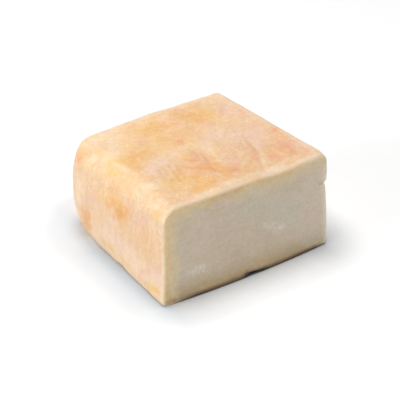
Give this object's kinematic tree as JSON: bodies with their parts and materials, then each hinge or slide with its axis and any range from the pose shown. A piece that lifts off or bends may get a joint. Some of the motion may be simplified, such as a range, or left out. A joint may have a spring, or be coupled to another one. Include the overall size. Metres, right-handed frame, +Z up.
{
  "type": "quarter of a soft washed-rind cheese",
  "caption": "Quarter of a square soft cheese with a peach washed rind, rounded shoulders and smooth pale paste on its cut sides.",
  "frame": {"origin": "middle of the bounding box, on the ground under the cheese", "axes": "+Z up; -X and +Y face the two rind sides, +X and -Y the two cut sides"},
  "size_m": [0.1036, 0.1012, 0.0558],
  "materials": {
    "cheese": "soft, slightly waxy washed rind in peach with orange and cream mottles"
  },
  "bodies": {
    "root": {"taleggio_quarter": "cheese"}
  },
  "joints": []
}
